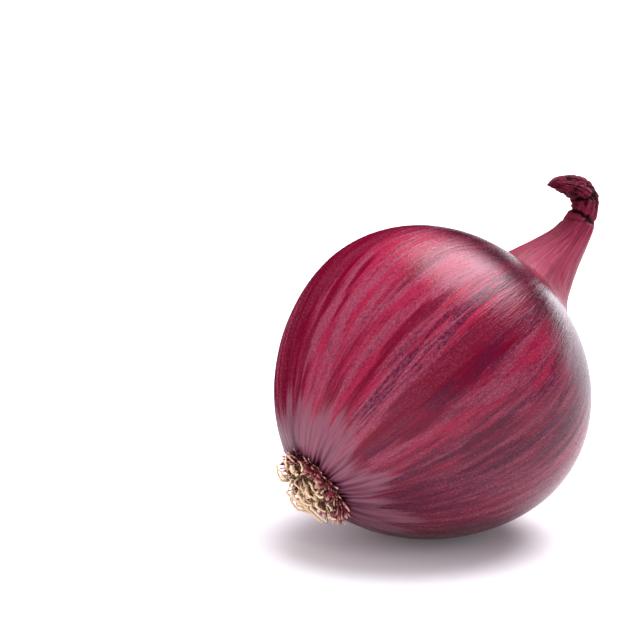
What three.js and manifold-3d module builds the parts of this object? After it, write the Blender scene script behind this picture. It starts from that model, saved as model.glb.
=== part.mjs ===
// A red onion that lies on its side on a small flat spot, with its dry neck and its dry roots.
// Millimetres, +Z up. The origin is the centre of the flat spot. The onion's own axis runs from
// the root plate, low at -X, to the neck, high at +X.
import * as THREE from 'three';
import { mergeVertices } from 'three/addons/utils/BufferGeometryUtils.js';
import Module from 'manifold-3d';

const wasm = await Module();
wasm.setup();

// ---- driving dimensions ----
const AXIS_RISE = 32;           // degrees from the floor up to the onion's axis, towards the neck
const HALF_HEIGHT = 39.8;       // half the globe's thickness, square to the axis, in the XZ plane
const HALF_WIDTH = 41.4;        // half the globe's width along Y
const ROOT_REACH = 43.6;        // from the widest ring to where the root side would come to a point
const ROOT_POWER = 1.81;        // roundness of the root side, 2 is an ellipse
const NECK_REACH = 34.6;        // the same for the neck side
const NECK_POWER = 2.03;
const FLAT_DEPTH = 0.6;         // how deep the flat spot cuts into the lowest skin
const FLAT_SHIFT = -1.8;        // from below the widest ring's centre to the flat spot's, along X

const PLATE_START = -41.6;      // where the skin ends round the root plate
const SHOULDER_END = 30;        // where the shoulder starts to sweep up into the neck

const GLOBE_RINGS = 26;
const NECK_STEPS = 3;           // rings to each stretch of the neck
const AROUND = 48;              // facets round the onion

// The corky root plate as (distance along the axis, radius), from its middle out to its rim.
const PLATE_PROFILE = [[-44.5, 0], [-44.3, 4], [-43.7, 6.8], [-42.7, 8.5], [-41.9, 9.2]];

// Rings of the neck. Each one has its distance along the axis, its offset upwards from the axis,
// its tilt in degrees, its half height in the plane of the bend and its half width along Y.
const NECK_RINGS = [
  [32.1, 0.7, 3, 15.4, 15.9],
  [34.4, 1.8, 7, 12.0, 12.3],
  [37.2, 2.8, 10, 10.0, 10.2],
  [40.8, 3.5, 12, 8.4, 8.6],
  [45.4, 4.2, 14, 6.6, 6.8],
  [50.6, 5.0, 18, 5.0, 5.2],
  [55.4, 6.7, 28, 4.0, 4.3],
  [58.7, 9.1, 50, 3.5, 4.0],
  [59.9, 12.1, 85, 3.7, 4.5],
  [58.8, 15.1, 118, 3.4, 4.3],
  [56.4, 17.9, 140, 2.6, 3.3],
  [54.1, 19.9, 142, 1.6, 2.1],
  [51.9, 21.2, 140, 0, 0],
];

// Dry roots. Each one starts on the root plate at (up, across) from its middle, in millimetres,
// stands out from it by `lift`, and runs over the plate along `heading` for `length`. A heading of
// 0 degrees is straight down the plate and 90 is towards +Y. `curl` is its sideways bow.
const ROOT_RADIUS = 0.42;
const ROOT_SIDES = 6;
const ROOT_STEPS = 9;
const ROOT_GAP = 0.35;          // between a root's foot and the plate

// The way every root runs, as shares of its length, of its lift and of its curl.
const ROOT_ROUTE = [[0, 0, 0], [0.06, 0.55, 0.2], [0.35, 1, 1], [0.7, 1.05, 0.4], [1, 0.8, -0.3]];
const ROOTS = [
  { up: -2.1, across: 6.3, heading: -34, length: 7.0, lift: 3.0, curl: 0.6 },
  { up: 0.1, across: 6.4, heading: -28, length: 6.8, lift: 4.3, curl: 0.8 },
  { up: -1.2, across: 3.4, heading: -27, length: 8.6, lift: 2.4, curl: 0.5 },
  { up: 2.8, across: 4.4, heading: -31, length: 7.4, lift: 3.9, curl: 0.4 },
  { up: -1.0, across: 0.2, heading: -32, length: 7.4, lift: 2.2, curl: 0.4 },
  { up: 3.0, across: 0.9, heading: -34, length: 6.0, lift: 3.6, curl: -0.3 },
  { up: -0.2, across: -3.2, heading: -24, length: 4.6, lift: 1.8, curl: 0.5 },
  { up: 3.9, across: -2.1, heading: -40, length: 4.6, lift: 2.6, curl: -0.5 },
  { up: 2.3, across: -5.3, heading: -60, length: 3.2, lift: 1.6, curl: 0.4 },
  { up: 4.9, across: 5.0, heading: 205, length: 6.6, lift: 1.3, curl: -0.5 },
  { up: 2.6, across: 6.8, heading: 198, length: 3.4, lift: 3.0, curl: -0.4 },
  { up: 0.9, across: 7.8, heading: 180, length: 6.2, lift: 3.4, curl: -0.6 },
  { up: 5.9, across: 1.6, heading: 200, length: 3.6, lift: 1.5, curl: 0.4 },
  { up: -5.4, across: -3.4, heading: -62, length: 3.4, lift: 1.5, curl: 0.5 },
];

const MERGE_TOLERANCE = 1e-4;   // corners closer than this are one corner

const SKIN = { color: 0x9c2446, roughness: 0.35, metalness: 0 };
const DRY_ROOT = { color: 0xd9c39a, roughness: 0.85, metalness: 0 };

// ---- the onion's own frame: z along its axis, x upwards across it, y sideways ----
const tilt = THREE.MathUtils.degToRad(90 - AXIS_RISE);
const toWorld = new THREE.Matrix4().makeBasis(
  new THREE.Vector3(-Math.cos(tilt), 0, Math.sin(tilt)),
  new THREE.Vector3(0, -1, 0),
  new THREE.Vector3(Math.sin(tilt), 0, Math.cos(tilt)),
);

// ---- bulb ----
function globeShare(along) {
  const reach = along < 0 ? ROOT_REACH : NECK_REACH;
  const power = along < 0 ? ROOT_POWER : NECK_POWER;
  return (1 - Math.abs(along / reach) ** power) ** (1 / power);
}

function globeAlong(angle) {
  const reach = angle < 0 ? ROOT_REACH : NECK_REACH;
  const power = angle < 0 ? ROOT_POWER : NECK_POWER;
  return Math.sign(angle) * reach * (1 - Math.cos(angle) ** power) ** (1 / power);
}

function splineRing(before, from, to, after, share) {
  return from.map((value, i) => {
    const slope = to[i] - before[i];
    const square = 2 * before[i] - 5 * value + 4 * to[i] - after[i];
    const cube = after[i] - before[i] + 3 * (value - to[i]);
    return value + 0.5 * share * (slope + share * (square + share * cube));
  });
}

function bulbRings() {
  const squash = HALF_WIDTH / HALF_HEIGHT;
  const rings = PLATE_PROFILE.map(([along, radius]) => [along, 0, 0, radius, radius * squash]);
  const first = -Math.acos(globeShare(PLATE_START));
  const last = Math.acos(globeShare(SHOULDER_END));
  for (let i = 0; i <= GLOBE_RINGS; i += 1) {
    const angle = first + (last - first) * i / GLOBE_RINGS;
    const share = Math.cos(angle);
    rings.push([globeAlong(angle), 0, 0, share * HALF_HEIGHT, share * HALF_WIDTH]);
  }
  // the ring before the neck is placed so that the shoulder runs on without a kink
  const shoulder = rings[rings.length - 1];
  const previous = rings[rings.length - 2];
  const stretch = 2 * (NECK_RINGS[0][3] - shoulder[3]) / (shoulder[3] - previous[3]);
  const before = NECK_RINGS[0].map((value, i) => value - stretch * (shoulder[i] - previous[i]));
  const path = [before, shoulder, ...NECK_RINGS, NECK_RINGS[NECK_RINGS.length - 1]];
  for (let i = 1; i < path.length - 2; i += 1) {
    for (let step = 1; step <= NECK_STEPS; step += 1) {
      rings.push(splineRing(path[i - 1], path[i], path[i + 1], path[i + 2], step / NECK_STEPS));
    }
  }
  return rings;
}

// A lathe gives the closed net of rings, and each ring is then put in its own place.
function ringSolid(rings) {
  const ends = [0, rings.length - 1];
  const profile = rings.map((ring, i) => new THREE.Vector2(ends.includes(i) ? 0 : 1, i));
  const net = new THREE.LatheGeometry(profile, AROUND);
  const place = net.attributes.position;
  for (let i = 0; i < place.count; i += 1) {
    const [along, up, lean, high, wide] = rings[Math.round(place.getY(i))];
    const angle = THREE.MathUtils.degToRad(lean);
    const rise = place.getX(i) * high;
    const x = up + rise * Math.cos(angle);
    const z = along - rise * Math.sin(angle);
    place.setXYZ(i, x, -place.getZ(i) * wide, z);
  }
  net.applyMatrix4(toWorld);
  return net;
}

function toManifold(geometry) {
  const bare = geometry.clone();
  bare.deleteAttribute('normal');
  bare.deleteAttribute('uv');
  const merged = mergeVertices(bare, MERGE_TOLERANCE);
  const corners = [];
  const index = merged.index.array;
  for (let i = 0; i < index.length; i += 3) {
    const face = [index[i], index[i + 1], index[i + 2]];
    if (new Set(face).size === 3) corners.push(...face);
  }
  return new wasm.Manifold(new wasm.Mesh({
    numProp: 3,
    vertProperties: new Float32Array(merged.attributes.position.array),
    triVerts: new Uint32Array(corners),
  }));
}

function toGeometry(solid) {
  const mesh = solid.getMesh();
  const geometry = new THREE.BufferGeometry();
  geometry.setAttribute('position', new THREE.BufferAttribute(mesh.vertProperties, 3));
  geometry.setIndex(new THREE.BufferAttribute(mesh.triVerts, 1));
  geometry.computeVertexNormals();
  return geometry;
}

const uncut = ringSolid(bulbRings());
uncut.computeBoundingBox();
const floorLevel = uncut.boundingBox.min.z + FLAT_DEPTH;
const ontoFloor = new THREE.Matrix4().makeTranslation(-FLAT_SHIFT, 0, -floorLevel);
uncut.applyMatrix4(ontoFloor);

function makeBulb() {
  const below = new THREE.BoxGeometry(HALF_WIDTH, HALF_WIDTH, HALF_WIDTH);
  below.translate(0, 0, -HALF_WIDTH / 2);
  return toGeometry(toManifold(uncut).subtract(toManifold(below)));
}

// ---- dry roots ----
function plateHeight(radius) {
  const outer = PLATE_PROFILE.findIndex(([, limit]) => limit > radius);
  const [farAlong, farRadius] = PLATE_PROFILE[outer];
  const [nearAlong, nearRadius] = PLATE_PROFILE[outer - 1];
  const share = (radius - nearRadius) / (farRadius - nearRadius);
  return nearAlong + share * (farAlong - nearAlong);
}

function makeRoot({ up, across, heading, length, lift, curl }) {
  const angle = THREE.MathUtils.degToRad(heading);
  const run = new THREE.Vector2(-Math.cos(angle), -Math.sin(angle));
  const side = new THREE.Vector2(-run.y, run.x);
  const foot = plateHeight(Math.hypot(up, across)) - ROOT_GAP - ROOT_RADIUS / 2;
  const route = new THREE.CatmullRomCurve3(ROOT_ROUTE.map(([share, rise, bow]) => new THREE.Vector3(
    up + run.x * length * share + side.x * curl * bow,
    -across + run.y * length * share + side.y * curl * bow,
    foot - lift * rise,
  )));
  const section = new THREE.Shape();
  section.absarc(0, 0, ROOT_RADIUS, 0, Math.PI * 2);
  const root = new THREE.ExtrudeGeometry(section, {
    steps: ROOT_STEPS,
    curveSegments: ROOT_SIDES / 2,
    extrudePath: route,
  });
  root.applyMatrix4(toWorld);
  root.applyMatrix4(ontoFloor);
  return root;
}

const onion = new THREE.Group();

function addPiece(name, geometry, finish) {
  const piece = new THREE.Mesh(geometry, new THREE.MeshStandardMaterial(finish));
  piece.name = name;
  onion.add(piece);
}

addPiece('bulb', makeBulb(), SKIN);
ROOTS.forEach((root, i) => {
  addPiece(`root_${String(i + 1).padStart(2, '0')}`, makeRoot(root), DRY_ROOT);
});

export default onion;
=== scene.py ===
import math

import bpy
import numpy as np
from mathutils import Matrix, Vector, noise


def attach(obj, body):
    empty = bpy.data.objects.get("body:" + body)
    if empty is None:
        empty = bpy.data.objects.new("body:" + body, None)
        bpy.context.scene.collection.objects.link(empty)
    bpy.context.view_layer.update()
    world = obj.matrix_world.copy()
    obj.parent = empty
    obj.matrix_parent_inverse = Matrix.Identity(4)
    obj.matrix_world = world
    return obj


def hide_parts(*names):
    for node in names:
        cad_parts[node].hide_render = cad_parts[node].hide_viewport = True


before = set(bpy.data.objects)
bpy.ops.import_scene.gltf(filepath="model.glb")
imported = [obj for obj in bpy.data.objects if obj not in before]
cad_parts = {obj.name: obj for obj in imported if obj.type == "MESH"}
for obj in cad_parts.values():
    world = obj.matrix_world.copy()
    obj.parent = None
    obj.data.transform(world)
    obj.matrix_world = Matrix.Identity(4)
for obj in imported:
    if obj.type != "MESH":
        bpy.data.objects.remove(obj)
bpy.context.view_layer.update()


# ---------------------------------------------------------------------------------------------
# Camera. A long lens looks a little down on the root end, from the height of a low tripod.
# The onion sits right of and below the middle of the view.
# ---------------------------------------------------------------------------------------------
MM = 0.001
AXIS_RISE = math.radians(32)
AXIS = Vector((math.cos(AXIS_RISE), 0, math.sin(AXIS_RISE)))       # root end to neck
ACROSS = Vector((-math.sin(AXIS_RISE), 0, math.cos(AXIS_RISE)))    # up, square to the axis
SIDEWAYS = Vector((0, 1, 0))
WIDEST_RING = Vector((1.8, 0, 39.0)) * MM                          # centre of the widest ring

VIEW_AZIMUTH = math.radians(-34.7)
VIEW_HEIGHT = math.radians(14)
VIEW_DISTANCE = 0.75
LENS = 169.8
AIM_BACK = 1.57 * MM             # the aimed ring is this far behind the widest one
AIM_LEFT = 28.2 * MM
AIM_UP = 15.2 * MM


def add_object(name, data):
    made = bpy.data.objects.new(name, data)
    bpy.context.scene.collection.objects.link(made)
    return made


towards = Vector((math.sin(VIEW_AZIMUTH) * math.cos(VIEW_HEIGHT),
                  -math.cos(VIEW_AZIMUTH) * math.cos(VIEW_HEIGHT), math.sin(VIEW_HEIGHT)))
rightwards = Vector((math.cos(VIEW_AZIMUTH), math.sin(VIEW_AZIMUTH), 0))
upwards = towards.cross(rightwards)
centre = WIDEST_RING - AXIS * AIM_BACK
camera = add_object("camera", bpy.data.cameras.new("camera"))
camera.data.lens = LENS
camera.data.clip_end = 20
camera.location = centre + towards * VIEW_DISTANCE
aim = centre - rightwards * AIM_LEFT + upwards * AIM_UP
camera.rotation_euler = (aim - camera.location).to_track_quat("-Z", "Y").to_euler()
bpy.context.scene.camera = camera
bpy.context.scene.view_settings.view_transform = "Standard"


# ---------------------------------------------------------------------------------------------
# Studio. A pale floor runs out of sight. A round softbox hangs over the onion, a low white wall
# stands behind it with a dark gap between the two, and a weak fill comes from the camera's left.
# A black card on the left, which the camera doesn't see, keeps the floor out of the gloss.
# ---------------------------------------------------------------------------------------------
FLOOR_HALF = 6.0
FLOOR_PAINT = (0.9, 0.9, 0.9, 1)
FLOOR_GLOW = (1, 0.90, 0.95, 1)
FLOOR_GLOW_STRENGTH = 0.06
SOFTBOX_WAY = (rightwards * 0.26 - towards * 0.08 + upwards * 0.96).normalized()
SOFTBOX_LIGHT = 8.6
SOFTBOX_EDGES = (math.cos(math.radians(34)), math.cos(math.radians(16)))
FRONT = Vector((towards.x, towards.y, 0)).normalized()
WALL_WAY = rightwards * 0.616 - FRONT * 0.788
WALL_SIDES = (0.85, 0.95)
WALL_LIGHT = 3.2
WALL_EDGES = (0.21, 0.13)        # height of the wall's soft top edge, as the sine of its elevation
FLAG_WAY = -rightwards * 0.78 - FRONT * 0.62
FLAG_AWAY = 0.105
FLAG_LIFT = 0.001
FLAG_SIZE = (0.26, 0.13)
FLAG_CLOTH = (0.004, 0.002, 0.002, 1)
FILL_WAY = (towards * 0.70 - rightwards * 0.55 + upwards * 0.45).normalized()
FILL_LIGHT = 1.0
FILL_EDGES = (0.2, 0.95)
SHADE_LIGHT = 0.40
GLOSS_BOOST = 1.6                # how much brighter the softbox and wall are in the gloss
BACKDROP_LIGHT = 1.1             # what the camera sees past the floor
LIGHT_COLOUR = (1.0, 0.965, 1.04, 1)


def add_node(tree, kind, **settings):
    made = tree.nodes.new(kind)
    for name, value in settings.items():
        setattr(made, name, value)
    return made


def feed(tree, socket, value):
    """Links a socket to an input, or sets the input to a plain value."""
    if isinstance(value, bpy.types.NodeSocket):
        tree.links.new(value, socket)
    else:
        socket.default_value = value


def calc(tree, operation, first, second=0.0):
    made = add_node(tree, "ShaderNodeMath", operation=operation)
    feed(tree, made.inputs[0], first)
    feed(tree, made.inputs[1], second)
    return made.outputs[0]


def dot(tree, first, second):
    made = add_node(tree, "ShaderNodeVectorMath", operation="DOT_PRODUCT")
    feed(tree, made.inputs[0], first)
    feed(tree, made.inputs[1], second)
    return made.outputs["Value"]


def ramp(tree, value, start, end, low=0.0, high=1.0):
    """A smooth step from low at start to high at end."""
    made = add_node(tree, "ShaderNodeMapRange", interpolation_type="SMOOTHSTEP")
    for name, number in (("Value", value), ("From Min", start), ("From Max", end),
                         ("To Min", low), ("To Max", high)):
        feed(tree, made.inputs[name], number)
    return made.outputs["Result"]


def make_studio():
    world = bpy.data.worlds.new("studio")
    world.use_nodes = True
    bpy.context.scene.world = world
    tree = world.node_tree
    background = tree.nodes["Background"]
    way = add_node(tree, "ShaderNodeTexCoord").outputs["Generated"]
    height = add_node(tree, "ShaderNodeSeparateXYZ")
    tree.links.new(way, height.inputs[0])
    behind = ramp(tree, dot(tree, way, WALL_WAY), *WALL_SIDES)
    low = ramp(tree, height.outputs["Z"], *WALL_EDGES)
    wall = calc(tree, "MULTIPLY", calc(tree, "MULTIPLY", behind, low), WALL_LIGHT)
    softbox = ramp(tree, dot(tree, way, SOFTBOX_WAY), *SOFTBOX_EDGES, 0, SOFTBOX_LIGHT)
    fill = ramp(tree, dot(tree, way, FILL_WAY), *FILL_EDGES, SHADE_LIGHT, FILL_LIGHT)
    ray = add_node(tree, "ShaderNodeLightPath").outputs
    fill = calc(tree, "MULTIPLY", fill, calc(tree, "SUBTRACT", 1.0, ray["Is Glossy Ray"]))
    lamps = calc(tree, "ADD", wall, softbox)
    gloss = calc(tree, "MULTIPLY", ray["Is Glossy Ray"], GLOSS_BOOST - 1)
    lamps = calc(tree, "MULTIPLY", lamps, calc(tree, "ADD", gloss, 1.0))
    light = calc(tree, "ADD", lamps, fill)
    backdrop = calc(tree, "MULTIPLY", ray["Is Camera Ray"], BACKDROP_LIGHT)
    tree.links.new(calc(tree, "MAXIMUM", light, backdrop), background.inputs["Strength"])
    background.inputs["Color"].default_value = LIGHT_COLOUR


def new_material(name):
    material = bpy.data.materials.new(name)
    material.use_nodes = True
    return material, material.node_tree, material.node_tree.nodes["Principled BSDF"]


def make_floor():
    mesh = bpy.data.meshes.new("floor")
    corners = [(-1, -1), (1, -1), (1, 1), (-1, 1)]
    mesh.from_pydata([(x * FLOOR_HALF, y * FLOOR_HALF, 0) for x, y in corners], [], [range(4)])
    paint, tree, shader = new_material("floor_paint")
    shader.inputs["Base Color"].default_value = FLOOR_PAINT
    shader.inputs["Roughness"].default_value = 0.8
    shader.inputs["Specular IOR Level"].default_value = 0.1
    shader.inputs["Emission Color"].default_value = FLOOR_GLOW
    shader.inputs["Emission Strength"].default_value = FLOOR_GLOW_STRENGTH
    mesh.materials.append(paint)
    add_object("floor", mesh)


def make_flag():
    side = FLAG_WAY.cross(Vector((0, 0, 1))) * FLAG_SIZE[0] / 2
    foot = Vector((WIDEST_RING.x, 0, FLAG_LIFT)) + FLAG_WAY * FLAG_AWAY
    top = Vector((0, 0, FLAG_SIZE[1]))
    mesh = bpy.data.meshes.new("flag")
    mesh.from_pydata([foot - side, foot + side, foot + side + top, foot - side + top], [],
                     [range(4)])
    cloth, tree, shader = new_material("flag_cloth")
    shader.inputs["Base Color"].default_value = FLAG_CLOTH
    shader.inputs["Roughness"].default_value = 1
    shader.inputs["Specular IOR Level"].default_value = 0
    mesh.materials.append(cloth)
    flag = add_object("flag", mesh)
    flag.visible_camera = False
    flag.visible_diffuse = False
    flag.visible_shadow = False


make_studio()
make_floor()
make_flag()


# ---------------------------------------------------------------------------------------------
# Bulb. One grown piece: papery skin over a globe that is a little wider than it is thick, a
# shoulder that sweeps up into the dry neck, and a neck that is pleated, creased and hooked over.
# A net of rings follows the grown shape, and geometry nodes sink the furrows between its veins.
# ---------------------------------------------------------------------------------------------
HALF_HEIGHT = 39.8               # millimetres, as the rest of this shape
HALF_WIDTH = 41.4
SQUASH = HALF_WIDTH / HALF_HEIGHT
ROOT_REACH, ROOT_POWER = 43.6, 1.81
NECK_REACH, NECK_POWER = 34.6, 2.03
PLATE_START = -41.6
SEAT_RADII = (0, 4, 8.4)         # rings of the flat end under the root plate
SHOULDER_END = 30
# distance along the axis, offset upwards, tilt in degrees, half height, half width
NECK_RINGS = [
    (32.1, 0.7, 3, 15.4, 15.9),
    (34.4, 1.8, 7, 12.0, 12.3),
    (37.2, 2.8, 10, 10.0, 10.2),
    (40.8, 3.5, 12, 8.4, 8.6),
    (45.4, 4.2, 14, 6.6, 6.8),
    (50.6, 5.0, 18, 5.0, 5.2),
    (55.4, 6.7, 28, 4.0, 4.3),
    (58.7, 9.1, 50, 3.5, 4.0),
    (59.9, 12.1, 85, 3.7, 4.5),
    (58.8, 15.1, 118, 3.4, 4.3),
    (56.4, 17.9, 140, 2.6, 3.3),
    (54.1, 19.9, 142, 1.6, 2.1),
    (51.9, 21.2, 140, 0, 0),
]
# creases: place up the neck in rings, depth, width, lean
NECK_CREASES = [(7.45, 1.0, 0.13, 0.18), (9.25, 0.9, 0.16, 0.30), (6.9, 0.4, 0.10, -0.25),
                (10.9, 0.5, 0.12, 0.5)]
CREASE_SIDE = math.radians(-35)  # the side of the neck that the creases are deepest on
VEIN_DEPTH = 0.12 * MM
FLAT_SEAM = 0.17 * MM            # skin lower than this lies on the floor
AROUND = 280
GLOBE_STEPS = 150
NECK_STEPS = 13


def smooth(start, end, value):
    share = np.clip((value - start) / (end - start), 0, 1)
    return share * share * (3 - 2 * share)


def swirl(angle, along, scale, stretch, seed):
    """Smooth noise round the onion: it repeats after a full turn, so it has no seam."""
    rows = np.broadcast_arrays(np.cos(angle) * scale, np.sin(angle) * scale, along * stretch + seed)
    points = np.stack(rows, -1).reshape(-1, 3)
    return np.array([noise.noise(point) for point in points]).reshape(rows[0].shape)


def globe_share(along):
    reach, power = (ROOT_REACH, ROOT_POWER) if along < 0 else (NECK_REACH, NECK_POWER)
    return (1 - abs(along / reach) ** power) ** (1 / power)


def bulb_rings():
    """Rings from under the root plate to the neck's tip, each with its step up the neck."""
    rings = [(PLATE_START, 0, 0, radius, radius * SQUASH, -1) for radius in SEAT_RADII]
    first = -math.acos(globe_share(PLATE_START))
    last = math.acos(globe_share(SHOULDER_END))
    for i in range(GLOBE_STEPS + 1):
        angle = first + (last - first) * i / GLOBE_STEPS
        reach, power = (ROOT_REACH, ROOT_POWER) if angle < 0 else (NECK_REACH, NECK_POWER)
        along = math.copysign(reach * (1 - math.cos(angle) ** power) ** (1 / power), angle)
        share = math.cos(angle)
        rings.append((along, 0, 0, share * HALF_HEIGHT, share * HALF_WIDTH, 0))
    path = np.array([rings[-1][:5], *NECK_RINGS, NECK_RINGS[-1]], float)
    slope = path[0] - np.array(rings[-2][:5])
    before = path[1] - 2 * slope * (path[1][3] - path[0][3]) / slope[3]
    path = np.vstack([before, path])
    for i in range(1, len(path) - 2):
        from_ring, to_ring = path[i], path[i + 1]
        ahead = to_ring - path[i - 1]
        square = 2 * path[i - 1] - 5 * from_ring + 4 * to_ring - path[i + 2]
        cube = path[i + 2] - path[i - 1] + 3 * (from_ring - to_ring)
        for step in range(1, NECK_STEPS + 1):
            share = step / NECK_STEPS
            ring = from_ring + 0.5 * share * (ahead + share * (square + share * cube))
            rings.append((*ring, i - 1 + share))
    return np.array(rings)


def groove(value, width):
    return np.exp(-(value / width) ** 2)


def skin_folds(angle, length, neck):
    """How deep the skin is drawn in, in millimetres: pleats at the root end, pleats up the
    neck, sharp creases where the neck hooks over, and the crumpled tip."""
    root = np.exp(-(length / 3.4) ** 1.5) * (neck == 0)
    reach = 0.4 + 0.9 * np.clip(0.5 + swirl(angle, length * 0, 3.0, 1, 41), 0, 1)
    pleats = groove(swirl(angle, length, 8.0, 0.03, 3), 0.16)
    depth = 1.15 * root * reach * pleats
    dry = smooth(1.0, 7.0, neck)
    turn = angle + 0.10 * (neck - 6) * dry
    depth += 0.34 * dry * groove(swirl(turn, neck, 2.6, 0.22, 11), 0.11)
    depth += 0.16 * dry * groove(swirl(turn, neck, 5.5, 0.3, 17), 0.16)
    crumple = smooth(7.4, 8.8, neck) * (1 - smooth(12.2, 13, neck))
    depth += 0.9 * crumple * np.clip(0.1 + 1.5 * swirl(angle, neck, 1.5, 1.5, 23), 0, 1)
    depth += 0.35 * crumple * groove(swirl(angle, neck, 2.8, 2.6, 31), 0.14)
    facing = 0.55 + 0.45 * np.cos(angle - CREASE_SIDE)
    for place, deep, wide, lean in NECK_CREASES:
        bend = place + lean * np.sin(angle + 0.6) + 0.12 * swirl(angle, neck * 0, 2.2, 1, place)
        depth += deep * facing * groove(neck - bend, wide)
    return depth


def store(mesh, name, values):
    """Keeps one number or one vector for each point of a mesh."""
    values = np.array(values)
    kind, key = ("FLOAT", "value") if values.ndim == 1 else ("FLOAT_VECTOR", "vector")
    mesh.attributes.new(name, kind, "POINT").data.foreach_set(key, values.ravel())


def build_bulb():
    rings = bulb_rings()
    angles = np.arange(AROUND) * 2 * math.pi / AROUND
    along, up, lean, high, wide, neck = rings.T
    lean = np.radians(lean)
    middle = np.outer(along, AXIS) + np.outer(up, ACROSS)
    spoke = np.outer(-np.sin(lean), AXIS) + np.outer(np.cos(lean), ACROSS)
    travel = np.hypot(np.diff(along), np.diff(high) * (neck[1:] < 6))
    travel = np.maximum(travel, np.hypot(np.diff(along), np.diff(up)))
    length = np.concatenate([[0], np.cumsum(travel)])
    length -= length[3]
    angle, length_net = np.meshgrid(angles, length)
    neck_net = np.broadcast_to(neck[:, None], angle.shape)
    folds = skin_folds(angle, np.maximum(length_net, 0), neck_net)
    folds[:3] = 0
    keep = np.minimum(1, 0.25 + high / 4)[:, None]
    drawn = 1 - np.minimum(folds * keep, 0.45 * high[:, None]) / np.maximum(high[:, None], 0.01)
    points = (middle[:, None]
              + (np.cos(angle) * drawn * high[:, None])[..., None] * spoke[:, None]
              + (np.sin(angle) * drawn * wide[:, None])[..., None] * np.array(SIDEWAYS))
    points = points * MM + np.array(WIDEST_RING)
    points[..., 2] = np.maximum(points[..., 2], 0)
    rows = len(rings)
    net = points[1:-1].reshape(-1, 3)
    coords = np.vstack([points[0, :1], net, points[-1, :1]])
    way = np.stack([np.cos(angle), np.sin(angle), length_net / 10], -1)[1:-1].reshape(-1, 3)
    way = np.vstack([[0, 0, length[0] / 10], way, [0, 0, length[-1] / 10]])
    fold = np.concatenate([[0], folds[1:-1].ravel(), [0]])
    faces = []
    top = len(coords) - 1
    for j in range(AROUND):
        k = (j + 1) % AROUND
        faces.append((0, 1 + j, 1 + k))
        for i in range(rows - 3):
            a, b = 1 + i * AROUND, 1 + (i + 1) * AROUND
            faces.append((a + k, a + j, b + j, b + k))
        last = 1 + (rows - 3) * AROUND
        faces.append((last + k, last + j, top))
    mesh = bpy.data.meshes.new("bulb_skin")
    mesh.from_pydata(coords.tolist(), [], faces)
    store(mesh, "skin_way", way)
    store(mesh, "skin_fold", fold)
    store(mesh, "neck_way", np.concatenate([[0], neck_net[1:-1].ravel(), [neck[-1]]]))
    mesh.shade_smooth()
    return add_object("bulb_skin", mesh)


def add_socket(tree, name, way, kind, value=None):
    socket = tree.interface.new_socket(name, in_out=way, socket_type=kind)
    if value is not None:
        socket.default_value = value
    return socket.identifier


def drawn_out_noise(tree, way, around, along, **settings):
    """Noise that is drawn out from root to neck, with its fineness each way."""
    scale = add_node(tree, "ShaderNodeCombineXYZ")
    for axis, fineness in zip("XYZ", (around, around, along)):
        tree.links.new(fineness, scale.inputs[axis])
    stretched = add_node(tree, "ShaderNodeVectorMath", operation="MULTIPLY")
    tree.links.new(way, stretched.inputs[0])
    tree.links.new(scale.outputs[0], stretched.inputs[1])
    texture = add_node(tree, "ShaderNodeTexNoise", **settings)
    texture.inputs["Scale"].default_value = 1
    texture.inputs["Detail"].default_value = 2
    tree.links.new(stretched.outputs[0], texture.inputs["Vector"])
    return texture


def streak_group():
    """A mask that runs in streaks from root to neck. Around and Along say how fine it is."""
    tree = bpy.data.node_groups.new("skin_streaks", "ShaderNodeTree")
    add_socket(tree, "Way", "INPUT", "NodeSocketVector")
    for name, value in (("Around", 10), ("Along", 0.2), ("Seed", 0), ("Start", 0.4), ("End", 0.6)):
        add_socket(tree, name, "INPUT", "NodeSocketFloat", value)
    add_socket(tree, "Mask", "OUTPUT", "NodeSocketFloat")
    given = add_node(tree, "NodeGroupInput").outputs
    result = add_node(tree, "NodeGroupOutput").inputs
    texture = drawn_out_noise(tree, given["Way"], given["Around"], given["Along"],
                              noise_dimensions="4D")
    tree.links.new(given["Seed"], texture.inputs["W"])
    mask = ramp(tree, texture.outputs[0], given["Start"], given["End"])
    tree.links.new(mask, result["Mask"])
    return tree


def band_group():
    """A soft mask for one broad band that runs from root to neck at an angle round the axis."""
    tree = bpy.data.node_groups.new("skin_band", "ShaderNodeTree")
    add_socket(tree, "Way", "INPUT", "NodeSocketVector")
    add_socket(tree, "Angle", "INPUT", "NodeSocketFloat", 0)
    add_socket(tree, "Half Width", "INPUT", "NodeSocketFloat", 10)
    add_socket(tree, "Mask", "OUTPUT", "NodeSocketFloat")
    given = add_node(tree, "NodeGroupInput").outputs
    result = add_node(tree, "NodeGroupOutput").inputs
    turn = calc(tree, "RADIANS", given["Angle"])
    spoke = add_node(tree, "ShaderNodeCombineXYZ")
    tree.links.new(calc(tree, "COSINE", turn), spoke.inputs["X"])
    tree.links.new(calc(tree, "SINE", turn), spoke.inputs["Y"])
    near = calc(tree, "MINIMUM", dot(tree, given["Way"], spoke.outputs[0]), 1.0)
    apart = calc(tree, "DEGREES", calc(tree, "ARCCOSINE", near))
    tree.links.new(ramp(tree, apart, given["Half Width"], 0.0), result["Mask"])
    return tree


def use_group(tree, group, **values):
    made = add_node(tree, "ShaderNodeGroup", node_tree=group)
    for name, value in values.items():
        feed(tree, made.inputs[name.replace("_", " ")], value)
    return made.outputs[0]


def blend_colour(tree, share, first, second):
    made = add_node(tree, "ShaderNodeMix", data_type="RGBA")
    feed(tree, made.inputs["Factor"], share)
    feed(tree, made.inputs["A"], first)
    feed(tree, made.inputs["B"], second)
    return made.outputs["Result"]


STREAKS = streak_group()
BAND = band_group()

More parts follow.
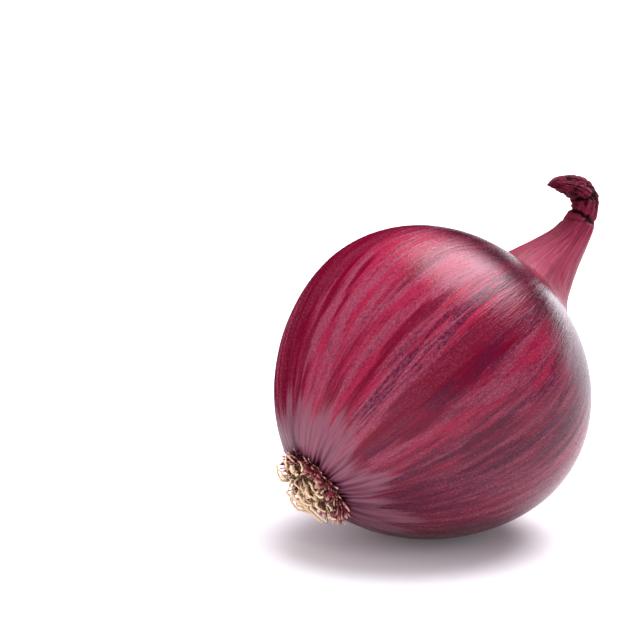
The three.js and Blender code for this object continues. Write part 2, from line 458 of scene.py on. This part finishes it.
ROSE = (0.31, 0.012, 0.044, 1)
CRIMSON = (0.16, 0.0003, 0.017, 1)
PURPLE = (0.07, 0.006, 0.026, 1)
VEIL = (0.26, 0.070, 0.112, 1)
# painted shade: the dark the globe turns to down its sides and underneath
PAINTED_SHADE = (0.058, 0.0012, 0.011, 1)
DUSTY_PINK = (0.40, 0.10, 0.17, 1)
MAUVE = (0.235, 0.090, 0.125, 1)
# painted reflection: the dark band of the studio's unlit gap, painted round the shoulder
PAINTED_SHOULDER_DARK = (0.045, 0.002, 0.011, 1)
NECK_RED = (0.30, 0.026, 0.062, 1)
NECK_LINE = (0.12, 0.006, 0.024, 1)
HOOD_RED = (0.17, 0.006, 0.026, 1)
# painted shade: near black, for the hollows of folds and creases
PAINTED_CREASE_SHADE = (0.022, 0.001, 0.004, 1)
# broad bands: angle round the axis in degrees, half width in degrees
CRIMSON_BANDS = ((14, 22), (-60, 12), (60, 26), (130, 20), (-160, 24))
PURPLE_BANDS = ((-46, 9), (-64, 7), (-84, 12), (-104, 22), (95, 24), (-135, 16))
# painted shade: broad bands down the sides and under the globe, darkened where less light falls
PAINTED_SHADE_BANDS = ((-102, 56), (-150, 62), (160, 58), (100, 40))


def sum_masks(tree, masks):
    total = masks[0]
    for mask in masks[1:]:
        total = calc(tree, "MAXIMUM", total, mask)
    return total


def stored_mask(tree, name):
    return add_node(tree, "ShaderNodeAttribute", attribute_name=name).outputs["Fac"]


def add_bump(tree, shader, height, depth, strength=1):
    bump = add_node(tree, "ShaderNodeBump")
    bump.inputs["Distance"].default_value = depth
    bump.inputs["Strength"].default_value = strength
    tree.links.new(height, bump.inputs["Height"])
    tree.links.new(bump.outputs[0], shader.inputs["Normal"])


def skin_material():
    material, tree, shader = new_material("onion_skin")
    way = add_node(tree, "ShaderNodeAttribute", attribute_name="skin_way").outputs["Vector"]
    fold = stored_mask(tree, "skin_fold")
    neck = stored_mask(tree, "neck_way")
    split = add_node(tree, "ShaderNodeSeparateXYZ")
    tree.links.new(way, split.inputs[0])
    length = split.outputs["Z"]

    def streaks(around, along, seed, start, end):
        return use_group(tree, STREAKS, Way=way, Around=around, Along=along, Seed=seed,
                         Start=start, End=end)

    def bands(places):
        return sum_masks(tree, [use_group(tree, BAND, Way=way, Angle=angle, Half_Width=width)
                                for angle, width in places])

    broad = streaks(6, 0.22, 1, 0.40, 0.62)
    strands = streaks(17, 0.42, 2, 0.40, 0.60)
    threads = streaks(44, 0.9, 3, 0.42, 0.60)
    fibres = streaks(120, 2.4, 4, 0.35, 0.70)
    cells = streaks(110, 17.0, 5, 0.40, 0.64)
    flecks = streaks(75, 9.0, 13, 0.46, 0.62)

    crimson = calc(tree, "MULTIPLY", calc(tree, "ADD", bands(CRIMSON_BANDS), broad), strands)
    crimson = ramp(tree, calc(tree, "ADD", crimson, bands(CRIMSON_BANDS)), 0.15, 1.1)
    colour = blend_colour(tree, crimson, ROSE, CRIMSON)
    veil = streaks(14, 0.45, 12, 0.40, 0.58)
    veil = calc(tree, "MULTIPLY", veil, ramp(tree, cells, 0, 1, 0.35, 0.95))
    veil = calc(tree, "MULTIPLY", veil, ramp(tree, crimson, 0, 1, 0.95, 0.25))
    colour = blend_colour(tree, veil, colour, VEIL)
    # painted shade: the sides and underside of the globe are painted darker, as if in shade
    painted_shade = calc(tree, "MULTIPLY", bands(PAINTED_SHADE_BANDS), ramp(tree, strands, 0, 1, 0.55, 1.0))
    colour = blend_colour(tree, painted_shade, colour, PAINTED_SHADE)
    dusky = calc(tree, "MULTIPLY", calc(tree, "ADD", bands(PURPLE_BANDS), 0.15), threads)
    dusky = calc(tree, "ADD", dusky, calc(tree, "MULTIPLY", bands(PURPLE_BANDS), 0.3))
    dusky = calc(tree, "MULTIPLY", ramp(tree, dusky, 0.1, 1.2), ramp(tree, flecks, 0, 1, 0.6, 1))
    colour = blend_colour(tree, dusky, colour, PURPLE)
    fine_dark = calc(tree, "MULTIPLY", calc(tree, "MULTIPLY", flecks, threads), 0.55)
    colour = blend_colour(tree, fine_dark, colour, PURPLE)
    speckle = calc(tree, "MULTIPLY", calc(tree, "MULTIPLY", cells, fibres), 0.22)
    speckle = calc(tree, "MULTIPLY", speckle, calc(tree, "SUBTRACT", 1.1, crimson))
    colour = blend_colour(tree, speckle, colour, DUSTY_PINK)

    worn_edge = calc(tree, "ADD", calc(tree, "MULTIPLY", streaks(4, 0, 6, 0.3, 0.7), 1.1),
                     calc(tree, "MULTIPLY", streaks(22, 0.2, 7, 0.3, 0.7), 0.5))
    worn = ramp(tree, calc(tree, "SUBTRACT", length, worn_edge), 0.75, 0.10)
    worn = calc(tree, "MULTIPLY", worn, ramp(tree, streaks(26, 1.1, 8, 0.3, 0.6), 0, 1, 0.55, 1))
    colour = blend_colour(tree, calc(tree, "MULTIPLY", worn, 0.85), colour, MAUVE)
    # painted shade: dark purple streaks for the shade in the pleat grooves round the root end
    pleats = calc(tree, "MULTIPLY", streaks(15, 0.3, 17, 0.42, 0.58), ramp(tree, length, 1.5, 0.1))
    colour = blend_colour(tree, calc(tree, "MULTIPLY", pleats, 0.9), colour, PURPLE)
    specks = calc(tree, "MULTIPLY", streaks(34, 3.4, 15, 0.72, 0.76), ramp(tree, length, 4.5, 1.5))
    colour = blend_colour(tree, calc(tree, "MULTIPLY", specks, 0.85), colour, NECK_LINE)

    # painted reflection: a dark band round the shoulder below the neck, where the studio's dark gap
    # shows in the gloss
    painted_shoulder_dark = calc(tree, "MULTIPLY", ramp(tree, length, 6.6, 7.9), ramp(tree, neck, 1.6, 0.5))
    painted_shoulder_dark = calc(tree, "MULTIPLY", painted_shoulder_dark, ramp(tree, broad, 0, 1, 1.0, 0.8))
    colour = blend_colour(tree, painted_shoulder_dark, colour, PAINTED_SHOULDER_DARK)
    ragged = calc(tree, "MULTIPLY", streaks(9, 0.1, 16, 0.35, 0.65), 1.3)
    on_neck = ramp(tree, calc(tree, "ADD", neck, ragged), 1.1, 3.4)
    lines = streaks(11, 0.25, 9, 0.42, 0.60)
    neck_colour = blend_colour(tree, calc(tree, "MULTIPLY", lines, 0.6), NECK_RED, NECK_LINE)
    foot = calc(tree, "MULTIPLY", ramp(tree, neck, 3.2, 0.8), 0.9)
    neck_colour = blend_colour(tree, foot, neck_colour, CRIMSON)
    colour = blend_colour(tree, on_neck, colour, neck_colour)
    hood = ramp(tree, neck, 6.6, 8.6)
    hood = calc(tree, "MULTIPLY", hood, ramp(tree, streaks(3, 1.2, 10, 0.3, 0.7), 0, 1, 0.55, 1))
    colour = blend_colour(tree, hood, colour, HOOD_RED)
    # painted shade: the colour turns near black where the skin is drawn into folds and creases
    colour = blend_colour(tree, ramp(tree, fold, 0.15, 0.95), colour, PAINTED_CREASE_SHADE)
    tree.links.new(colour, shader.inputs["Base Color"])

    rough = calc(tree, "ADD", calc(tree, "MULTIPLY", cells, 0.06), 0.22)
    rough = calc(tree, "ADD", rough, calc(tree, "MULTIPLY", worn, 0.16))
    rough = calc(tree, "ADD", rough, calc(tree, "MULTIPLY", on_neck, 0.14))
    tree.links.new(rough, shader.inputs["Roughness"])
    shader.inputs["Specular IOR Level"].default_value = 0.165
    relief = calc(tree, "ADD", calc(tree, "MULTIPLY", fibres, 0.5),
                  calc(tree, "MULTIPLY", cells, 0.35))
    relief = calc(tree, "ADD", relief, calc(tree, "MULTIPLY", threads, 0.6))
    add_bump(tree, shader, relief, 0.06 * MM, 0.7)
    return material


def start_tree(name, **inputs):
    """A geometry nodes tree with its named inputs, and the inputs' identifiers."""
    tree = bpy.data.node_groups.new(name, "GeometryNodeTree")
    add_socket(tree, "Geometry", "INPUT", "NodeSocketGeometry")
    keys = {}
    for label, kind in inputs.items():
        keys[label] = add_socket(tree, label, "INPUT", "NodeSocket" + kind)
    add_socket(tree, "Geometry", "OUTPUT", "NodeSocketGeometry")
    return tree, keys, add_node(tree, "NodeGroupInput").outputs


def finish_tree(tree, geometry, material):
    real = add_node(tree, "GeometryNodeRealizeInstances")
    tree.links.new(geometry, real.inputs[0])
    finish = add_node(tree, "GeometryNodeSetMaterial")
    tree.links.new(real.outputs[0], finish.inputs["Geometry"])
    tree.links.new(material, finish.inputs["Material"])
    tree.links.new(finish.outputs[0], add_node(tree, "NodeGroupOutput").inputs["Geometry"])


def read_stored(tree, name, kind="FLOAT"):
    made = add_node(tree, "GeometryNodeInputNamedAttribute", data_type=kind)
    made.inputs["Name"].default_value = name
    return made.outputs["Attribute"]


def vein_tree():
    """Geometry nodes: low veins that run up the skin from root to neck."""
    tree, keys, given = start_tree("skin_veins", Depth="Float", Around="Float", Along="Float",
                                   Skin="Material")
    way = read_stored(tree, "skin_way", "FLOAT_VECTOR")
    texture = drawn_out_noise(tree, way, given["Around"], given["Along"])
    inward = calc(tree, "MULTIPLY", calc(tree, "ADD", texture.outputs[0], 0.4), given["Depth"])
    inward = calc(tree, "MULTIPLY", inward, -1.0)
    offset = add_node(tree, "ShaderNodeVectorMath", operation="SCALE")
    tree.links.new(add_node(tree, "GeometryNodeInputNormal").outputs[0], offset.inputs[0])
    tree.links.new(inward, offset.inputs["Scale"])
    place = add_node(tree, "GeometryNodeSetPosition")
    tree.links.new(given["Geometry"], place.inputs["Geometry"])
    tree.links.new(offset.outputs[0], place.inputs["Offset"])
    finish_tree(tree, place.outputs[0], given["Skin"])
    return tree, keys


def grow(piece, tree, keys, **values):
    """Runs a geometry nodes tree on a piece, and keeps the result as its plain mesh."""
    modifier = piece.modifiers.new("grow", "NODES")
    modifier.node_group = tree
    for name, value in values.items():
        modifier[keys[name]] = value
    depsgraph = bpy.context.evaluated_depsgraph_get()
    mesh = bpy.data.meshes.new_from_object(piece.evaluated_get(depsgraph), depsgraph=depsgraph)
    piece.modifiers.remove(modifier)
    mesh.name = piece.name
    piece.data = mesh


bulb = build_bulb()
grow(bulb, *vein_tree(), Depth=VEIN_DEPTH, Around=26.0, Along=0.25, Skin=skin_material())
for vertex in bulb.data.vertices:
    if vertex.co.z < FLAT_SEAM:
        vertex.co.z = 0
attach(bulb, "root")
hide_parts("bulb")


# ---------------------------------------------------------------------------------------------
# Root plate. The corky brown disc that the roots grow from, rough and pitted.
# It is a domed net of rings in the shape of the plate's section, roughened by noise.
# ---------------------------------------------------------------------------------------------
PLATE_PROFILE = [(-41.0, 9.0), (-41.9, 9.2), (-42.7, 8.5), (-43.7, 6.8), (-44.3, 4), (-44.5, 0)]
PLATE_AROUND = 120
PLATE_ROWS = 46
PLATE_SINK = 0.25                # how far the plate sits back into the skin
PIT_DEPTH = 0.9
CORK_BROWN = (0.055, 0.017, 0.010, 1)
CORK_TAN = (0.40, 0.21, 0.10, 1)


def in_frame(up, across, along):
    """A point from millimetres round the bulb's axis to the frame."""
    return WIDEST_RING + (ACROSS * up + SIDEWAYS * across + AXIS * along) * MM


def plate_height(radius):
    alongs, radii = zip(*reversed(PLATE_PROFILE[1:]))
    return float(np.interp(radius, radii, alongs))


def dry_grain(tree, scale, detail):
    """Fine, even noise through the whole piece."""
    place = add_node(tree, "ShaderNodeTexCoord").outputs["Object"]
    texture = add_node(tree, "ShaderNodeTexNoise")
    texture.inputs["Scale"].default_value = scale
    texture.inputs["Detail"].default_value = detail
    tree.links.new(place, texture.inputs["Vector"])
    return texture.outputs[0]


def cork_material():
    material, tree, shader = new_material("cork")
    grain = dry_grain(tree, 900, 5)
    light = ramp(tree, grain, 0.48, 0.68)
    tree.links.new(blend_colour(tree, light, CORK_BROWN, CORK_TAN), shader.inputs["Base Color"])
    tree.links.new(ramp(tree, light, 0, 1, 0.95, 0.75), shader.inputs["Roughness"])
    add_bump(tree, shader, grain, 0.3 * MM)
    return material


def build_plate():
    steps = np.linspace(0, len(PLATE_PROFILE) - 1, PLATE_ROWS)
    corners = range(len(PLATE_PROFILE))
    alongs, radii = [np.interp(steps, corners, column) for column in zip(*PLATE_PROFILE)]
    points = []
    for along, radius in zip(alongs[:-1], radii[:-1]):
        for j in range(PLATE_AROUND):
            turn = 2 * math.pi * j / PLATE_AROUND
            up, across = math.cos(turn) * radius, math.sin(turn) * radius * SQUASH
            pit = noise.noise((up * 0.9, across * 0.9, along))
            pit += 0.6 * noise.noise((up * 2.3, across * 2.3, along))
            sunk = along + PLATE_SINK + PIT_DEPTH * pit * min(1, radius / 2)
            points.append(in_frame(up, across, sunk))
    points.append(in_frame(0, 0, alongs[-1] + PLATE_SINK))
    faces = [tuple(reversed(range(PLATE_AROUND)))]
    last = len(points) - 1
    for i in range(PLATE_ROWS - 1):
        for j in range(PLATE_AROUND):
            k = (j + 1) % PLATE_AROUND
            a, b = i * PLATE_AROUND, (i + 1) * PLATE_AROUND
            if i == PLATE_ROWS - 2:
                faces.append((a + j, a + k, last))
            else:
                faces.append((a + j, a + k, b + k, b + j))
    mesh = bpy.data.meshes.new("root_plate")
    mesh.from_pydata(points, [], faces)
    mesh.shade_smooth()
    mesh.materials.append(cork_material())
    return add_object("root_plate", mesh)


plate = build_plate()
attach(plate, "root")


# ---------------------------------------------------------------------------------------------
# Torn skin round the plate. Each flake is a thin dry blade of skin, maroon with a cream tip.
# Geometry nodes set one blade on every point of four uneven rings and give each its own size.
# ---------------------------------------------------------------------------------------------
# rings of flakes: radius, how many, lean away from the axis in degrees, length (millimetres)
FLAKE_RINGS = [(7.3, 40, 4, 3.0), (8.0, 52, 20, 3.3), (8.7, 58, 38, 3.0), (9.3, 60, 58, 2.2)]
FLAKE_ROWS = [(0, 0.50), (0.3, 0.46), (0.6, 0.34), (0.85, 0.15)]     # height, half width
FLAKE_THICK = 0.05
FLAKE_SINK = 0.25                # how far each foot sits in the skin
FLAKE_BASE = (0.42, 0.030, 0.075, 1)
FLAKE_DARK = (0.075, 0.005, 0.015, 1)
FLAKE_TIP = (0.85, 0.50, 0.40, 1)


def flake_blade():
    """One blade a unit long: four-sided, bent a little, and closed at its root and its tip."""
    points = []
    for height, half in FLAKE_ROWS:
        bend = 0.3 * height * height
        points += [(-half, bend, height), (0, bend - FLAKE_THICK, height),
                   (half, bend, height), (0, bend + FLAKE_THICK, height)]
    points.append((0.06, 0.3, 1))
    faces = [(3, 2, 1, 0)]
    for i in range(len(FLAKE_ROWS) - 1):
        for j in range(4):
            k = (j + 1) % 4
            faces.append((4 * i + j, 4 * i + k, 4 * i + 4 + k, 4 * i + 4 + j))
    top = 4 * (len(FLAKE_ROWS) - 1)
    for j in range(4):
        faces.append((top + j, top + (j + 1) % 4, top + 4))
    mesh = bpy.data.meshes.new("flake_blade")
    mesh.from_pydata(points, [], faces)
    store(mesh, "flake_height", [point[2] for point in points])
    return bpy.data.objects.new("flake_blade", mesh)


def flake_material():
    material, tree, shader = new_material("torn_skin")
    height = stored_mask(tree, "flake_height")
    shade = stored_mask(tree, "flake_shade")
    grain = dry_grain(tree, 1400, 2)
    body = blend_colour(tree, ramp(tree, shade, 0.1, 0.8), FLAKE_DARK, FLAKE_BASE)
    tip = calc(tree, "ADD", height, calc(tree, "MULTIPLY", grain, 0.7))
    tip = calc(tree, "ADD", tip, calc(tree, "MULTIPLY", shade, 0.5))
    tip = ramp(tree, tip, 1.1, 1.6)
    tree.links.new(blend_colour(tree, tip, body, FLAKE_TIP), shader.inputs["Base Color"])
    tree.links.new(ramp(tree, grain, 0.3, 0.7, 0.5, 0.8), shader.inputs["Roughness"])
    return material


def flake_tree():
    """Geometry nodes: one blade on each point, turned and sized by what the point keeps."""
    tree, keys, given = start_tree("skin_flakes", Blade="Object", Skin="Material", Seed="Int")
    rotation = add_node(tree, "FunctionNodeEulerToRotation")
    tree.links.new(read_stored(tree, "flake_turn", "FLOAT_VECTOR"), rotation.inputs[0])
    shade = add_node(tree, "FunctionNodeRandomValue", data_type="FLOAT")
    tree.links.new(given["Seed"], shade.inputs["Seed"])
    shaded = add_node(tree, "GeometryNodeStoreNamedAttribute", data_type="FLOAT", domain="POINT")
    shaded.inputs["Name"].default_value = "flake_shade"
    tree.links.new(given["Geometry"], shaded.inputs["Geometry"])
    tree.links.new(shade.outputs[1], shaded.inputs["Value"])
    source = add_node(tree, "GeometryNodeObjectInfo")
    tree.links.new(given["Blade"], source.inputs["Object"])
    spread = add_node(tree, "GeometryNodeInstanceOnPoints")
    tree.links.new(shaded.outputs[0], spread.inputs["Points"])
    tree.links.new(source.outputs["Geometry"], spread.inputs["Instance"])
    tree.links.new(rotation.outputs[0], spread.inputs["Rotation"])
    tree.links.new(read_stored(tree, "flake_size", "FLOAT_VECTOR"), spread.inputs["Scale"])
    finish_tree(tree, spread.outputs[0], given["Skin"])
    return tree, keys


def build_flakes():
    random = np.random.default_rng(5)
    points, turns, sizes = [], [], []
    for radius, count, lean, length in FLAKE_RINGS:
        for i in range(count):
            turn = 2 * math.pi * (i + random.uniform(-0.45, 0.45)) / count
            reach = radius + random.uniform(-0.4, 0.4)
            foot = -ROOT_REACH * (1 - (reach / HALF_HEIGHT) ** ROOT_POWER) ** (1 / ROOT_POWER)
            up, across = math.cos(turn) * reach, math.sin(turn) * reach * SQUASH
            points.append(in_frame(up, across, foot + FLAKE_SINK))
            out = (ACROSS * math.cos(turn) + SIDEWAYS * math.sin(turn)).normalized()
            tilt = math.radians(lean + random.uniform(-14, 10))
            rise = -AXIS * math.cos(tilt) + out * math.sin(tilt)
            flat = AXIS * math.sin(tilt) + out * math.cos(tilt)
            side = flat.cross(rise)
            twist = random.uniform(-0.5, 0.5)
            side, flat = (side * math.cos(twist) + flat * math.sin(twist),
                          flat * math.cos(twist) - side * math.sin(twist))
            turns.append(Matrix((side, flat, rise)).transposed().to_euler())
            tall = length * random.uniform(0.45, 1.25)
            broad = random.uniform(0.8, 2.3)
            sizes.append((broad * MM, tall * MM, tall * MM))
    mesh = bpy.data.meshes.new("torn_skin")
    mesh.from_pydata(points, [], [])
    store(mesh, "flake_turn", turns)
    store(mesh, "flake_size", sizes)
    return add_object("torn_skin", mesh)


flakes = build_flakes()
blade = flake_blade()
grow(flakes, *flake_tree(), Blade=blade, Skin=flake_material(), Seed=3)
bpy.data.objects.remove(blade)
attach(flakes, "root")


# ---------------------------------------------------------------------------------------------
# Dry roots. Stiff cream threads that spring from the plate and curl away, over short brown
# stubs and finer hairs. Geometry nodes turn each drawn line into a tapered tube.
# ---------------------------------------------------------------------------------------------
ROOT_RADIUS = 0.42
ROOT_SINK = 0.4                  # how far each foot sits in the cork
# up, across, heading in degrees, length, lift, curl (millimetres)
ROOTS = [
    (-2.1, 6.3, -34, 7.0, 3.0, 0.6),
    (0.1, 6.4, -28, 6.8, 4.3, 0.8),
    (-1.2, 3.4, -27, 8.6, 2.4, 0.5),
    (2.8, 4.4, -31, 7.4, 3.9, 0.4),
    (-1.0, 0.2, -32, 7.4, 2.2, 0.4),
    (3.0, 0.9, -34, 6.0, 3.6, -0.3),
    (-0.2, -3.2, -24, 4.6, 1.8, 0.5),
    (3.9, -2.1, -40, 4.6, 2.6, -0.5),
    (2.3, -5.3, -60, 3.2, 1.6, 0.4),
    (4.9, 5.0, 205, 6.6, 1.3, -0.5),
    (2.6, 6.8, 198, 3.4, 3.0, -0.4),
    (0.9, 7.8, 180, 6.2, 3.4, -0.6),
    (5.9, 1.6, 200, 3.6, 1.5, 0.4),
    (-5.4, -3.4, -62, 3.4, 1.5, 0.5),
]
# share of the length, share of the curl
ROOT_BOWS = [(0, 0), (0.06, 0.2), (0.35, 1), (0.7, 0.4), (1, -0.3)]
ROOT_POINTS = 28
HAIRS = 26
STUBS = 34
ROOT_CREAM = (0.95, 0.72, 0.46, 1)
ROOT_BROWN = (0.13, 0.050, 0.022, 1)


def root_line(up, across, heading, length, lift, curl, wobble, seed):
    heading = math.radians(heading)
    run = (-math.cos(heading), math.sin(heading))
    side = (run[1], -run[0])
    foot = plate_height(math.hypot(up, across)) + ROOT_SINK
    line = []
    shares, bows = np.array(ROOT_BOWS).T
    for t in np.linspace(0, 1, ROOT_POINTS):
        share = np.interp(t, [0, 0.2, 1], [0, 0.06, 1])
        rise = smooth(-0.1, 0.35, share) * lift - 0.25 * lift * max(0, share - 0.7) / 0.3
        bow = np.interp(share, shares, bows) * curl
        shake = wobble * min(1, 3 * t)
        shakes = [shake * noise.noise((t * 4, seed, place)) for place in (0, 3, 7.7)]
        line.append(in_frame(up + run[0] * length * share + side[0] * bow + shakes[0],
                             across + run[1] * length * share + side[1] * bow + shakes[1],
                             foot - rise - 0.5 * shakes[2]))
    return line


def root_material():
    material, tree, shader = new_material("dry_root")
    grain = dry_grain(tree, 1600, 3)
    pale = calc(tree, "ADD", stored_mask(tree, "root_way"), calc(tree, "MULTIPLY", grain, 0.8))
    pale = ramp(tree, pale, 0.50, 0.85)
    tree.links.new(blend_colour(tree, pale, ROOT_BROWN, ROOT_CREAM), shader.inputs["Base Color"])
    tree.links.new(ramp(tree, grain, 0.3, 0.7, 0.6, 0.85), shader.inputs["Roughness"])
    add_bump(tree, shader, grain, 0.1 * MM)
    return material


def root_tree():
    """Geometry nodes: a tube along each line, as thick as the line's points say."""
    tree, keys, given = start_tree("root_tubes", Sides="Int", Root="Material")
    lines = add_node(tree, "GeometryNodeMeshToCurve")
    tree.links.new(given["Geometry"], lines.inputs[0])
    profile = add_node(tree, "GeometryNodeCurvePrimitiveCircle", mode="RADIUS")
    tree.links.new(given["Sides"], profile.inputs["Resolution"])
    profile.inputs["Radius"].default_value = 1
    tubes = add_node(tree, "GeometryNodeCurveToMesh")
    tubes.inputs["Fill Caps"].default_value = True
    tree.links.new(lines.outputs[0], tubes.inputs["Curve"])
    tree.links.new(profile.outputs[0], tubes.inputs["Profile Curve"])
    tree.links.new(read_stored(tree, "root_thick"), tubes.inputs["Scale"])
    finish_tree(tree, tubes.outputs[0], given["Root"])
    return tree, keys


def build_roots():
    random = np.random.default_rng(8)
    strands = [(row, ROOT_RADIUS, 0.7) for row in ROOTS]
    for i in range(HAIRS):
        up, across, heading, length, lift, curl = ROOTS[random.integers(len(ROOTS))]
        row = (up + random.normal(0, 1.3), across + random.normal(0, 1.3),
               heading + random.normal(0, 16), length * random.uniform(0.45, 0.95),
               lift * random.uniform(0.3, 1.0), curl + random.normal(0, 0.8))
        strands.append((row, random.uniform(0.16, 0.34), 1.2))
    for i in range(STUBS):
        reach, turn = 7.8 * math.sqrt(random.uniform()), random.uniform(0, 2 * math.pi)
        row = (reach * math.cos(turn), reach * math.sin(turn), math.degrees(random.uniform(0, 6.28)),
               random.uniform(0.3, 1.6), random.uniform(0.3, 1.1), random.normal(0, 0.3))
        strands.append((row, random.uniform(0.12, 0.30), 0.5))
    points, edges, thick, ways = [], [], [], []
    for seed, (row, radius, wobble) in enumerate(strands):
        line = root_line(*row, wobble, seed * 1.7)
        for i, point in enumerate(line):
            share = i / (len(line) - 1)
            if i:
                edges.append((len(points) - 1, len(points)))
            points.append(point)
            knots = 1 + 0.25 * noise.noise((share * 9, seed, 1))
            thick.append(radius * MM * knots * (1 - 0.55 * share ** 2))
            ways.append(share)
    mesh = bpy.data.meshes.new("dry_roots")
    mesh.from_pydata(points, edges, [])
    store(mesh, "root_thick", thick)
    store(mesh, "root_way", ways)
    return add_object("dry_roots", mesh)


roots = build_roots()
grow(roots, *root_tree(), Sides=6, Root=root_material())
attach(roots, "root")
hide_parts(*[f"root_{number:02d}" for number in range(1, len(ROOTS) + 1)])
